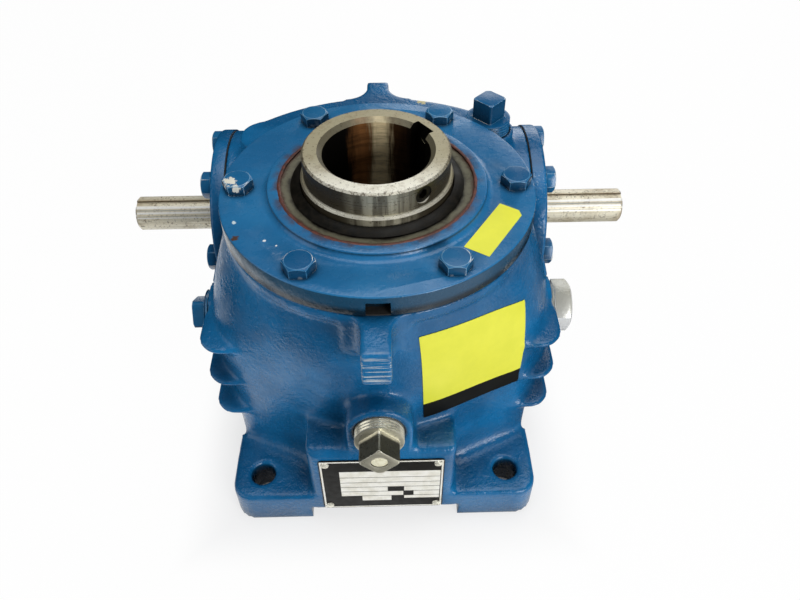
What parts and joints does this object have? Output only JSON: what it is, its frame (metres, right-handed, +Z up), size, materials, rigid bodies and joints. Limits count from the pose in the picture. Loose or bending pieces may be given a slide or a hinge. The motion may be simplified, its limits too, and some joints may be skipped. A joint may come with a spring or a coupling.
{
  "type": "worm gear reducer",
  "caption": "Right-angle worm gear reducer with a finned cast case on feet, a round bolted cover, an upright keyed hollow output shaft and an input shaft that stands out at both sides.",
  "frame": {"origin": "on the output shaft's axis at the base plane, which is also the centre of the foot-hole pattern", "axes": "+Z up along the output bore, +X along the worm shaft, +Y away from the nameplate side"},
  "size_m": [0.323, 0.2435, 0.2015],
  "materials": {
    "blue_enamel_casting": "blue enamel over cast iron",
    "blue_enamel_steel": "blue enamel over steel",
    "gasket_sheet": "dark fibre sheet",
    "red_sealant": "red-brown sealing compound",
    "seal_case_steel": "dull pressed steel",
    "seal_rubber": "black rubber",
    "bearing_steel": "ground steel",
    "cage_steel": "pressed steel",
    "shaft_steel": "turned steel with light rust stains",
    "black_oxide": "black oxide steel",
    "gear_bronze": "cut bronze",
    "plain_steel": "bare steel",
    "bright_zinc": "bright zinc plate",
    "nameplate_metal": "black printed aluminium, blank"
  },
  "bodies": {
    "casing": {"housing": "blue_enamel_casting", "top_cover": "blue_enamel_casting", "cover_gasket": "gasket_sheet", "cover_bolts": "blue_enamel_steel", "seal_sealant": "red_sealant", "upper_seal_case": "seal_case_steel", "upper_seal_lip": "seal_rubber", "lower_seal_case": "seal_case_steel", "lower_seal_lip": "seal_rubber", "upper_bearing_cup": "bearing_steel", "lower_bearing_cup": "bearing_steel", "drain_plug": "plain_steel", "level_plug_left": "blue_enamel_steel", "level_plug_right": "bright_zinc", "fill_plug": "blue_enamel_steel", "nameplate": "nameplate_metal", "nameplate_screws": "plain_steel", "left_bearing_cap": "blue_enamel_casting", "left_cap_shim": "plain_steel", "left_cap_bolts": "blue_enamel_steel", "left_worm_seal_case": "seal_case_steel", "left_worm_seal_lip": "seal_rubber", "left_worm_bearing_cup": "bearing_steel", "right_bearing_cap": "blue_enamel_casting", "right_cap_shim": "plain_steel", "right_cap_bolts": "blue_enamel_steel", "right_worm_seal_case": "seal_case_steel", "right_worm_seal_lip": "seal_rubber", "right_worm_bearing_cup": "bearing_steel"},
    "output": {"hollow_shaft": "shaft_steel", "collar_set_screws": "black_oxide", "worm_gear": "gear_bronze", "gear_bolts": "plain_steel", "upper_bearing_cone": "bearing_steel", "lower_bearing_cone": "bearing_steel"},
    "worm": {"worm_shaft": "shaft_steel", "left_worm_bearing_cone": "bearing_steel", "right_worm_bearing_cone": "bearing_steel"},
    "upper_cage": {"upper_bearing_cage": "cage_steel", "upper_bearing_rollers": "bearing_steel"},
    "lower_cage": {"lower_bearing_cage": "cage_steel", "lower_bearing_rollers": "bearing_steel"},
    "left_worm_cage": {"left_worm_bearing_cage": "cage_steel", "left_worm_bearing_rollers": "bearing_steel"},
    "right_worm_cage": {"right_worm_bearing_cage": "cage_steel", "right_worm_bearing_rollers": "bearing_steel"}
  },
  "joints": [
    {"name": "output_spin", "type": "hinge", "parent": "casing", "child": "output", "pos_m": [0, 0, 0.1016], "axis": [0, 0, 1], "continuous": true},
    {"name": "worm_spin", "type": "hinge", "parent": "casing", "child": "worm", "pos_m": [0, 0.0762, 0.1016], "axis": [1, 0, 0], "continuous": true},
    {"name": "upper_cage_spin", "type": "hinge", "parent": "casing", "child": "upper_cage", "pos_m": [0, 0, 0.137], "axis": [0, 0, 1], "continuous": true},
    {"name": "lower_cage_spin", "type": "hinge", "parent": "casing", "child": "lower_cage", "pos_m": [0, 0, 0.066], "axis": [0, 0, 1], "continuous": true},
    {"name": "left_worm_cage_spin", "type": "hinge", "parent": "casing", "child": "left_worm_cage", "pos_m": [-0.072, 0.0762, 0.1016], "axis": [1, 0, 0], "continuous": true},
    {"name": "right_worm_cage_spin", "type": "hinge", "parent": "casing", "child": "right_worm_cage", "pos_m": [0.072, 0.0762, 0.1016], "axis": [1, 0, 0], "continuous": true}
  ],
  "couplings": [
    {"joint": "worm_spin", "follows": "output_spin", "ratio": 15},
    {"joint": "upper_cage_spin", "follows": "output_spin", "ratio": 0.4653},
    {"joint": "lower_cage_spin", "follows": "output_spin", "ratio": 0.4653},
    {"joint": "left_worm_cage_spin", "follows": "output_spin", "ratio": 6.3208},
    {"joint": "right_worm_cage_spin", "follows": "output_spin", "ratio": 6.3208}
  ]
}
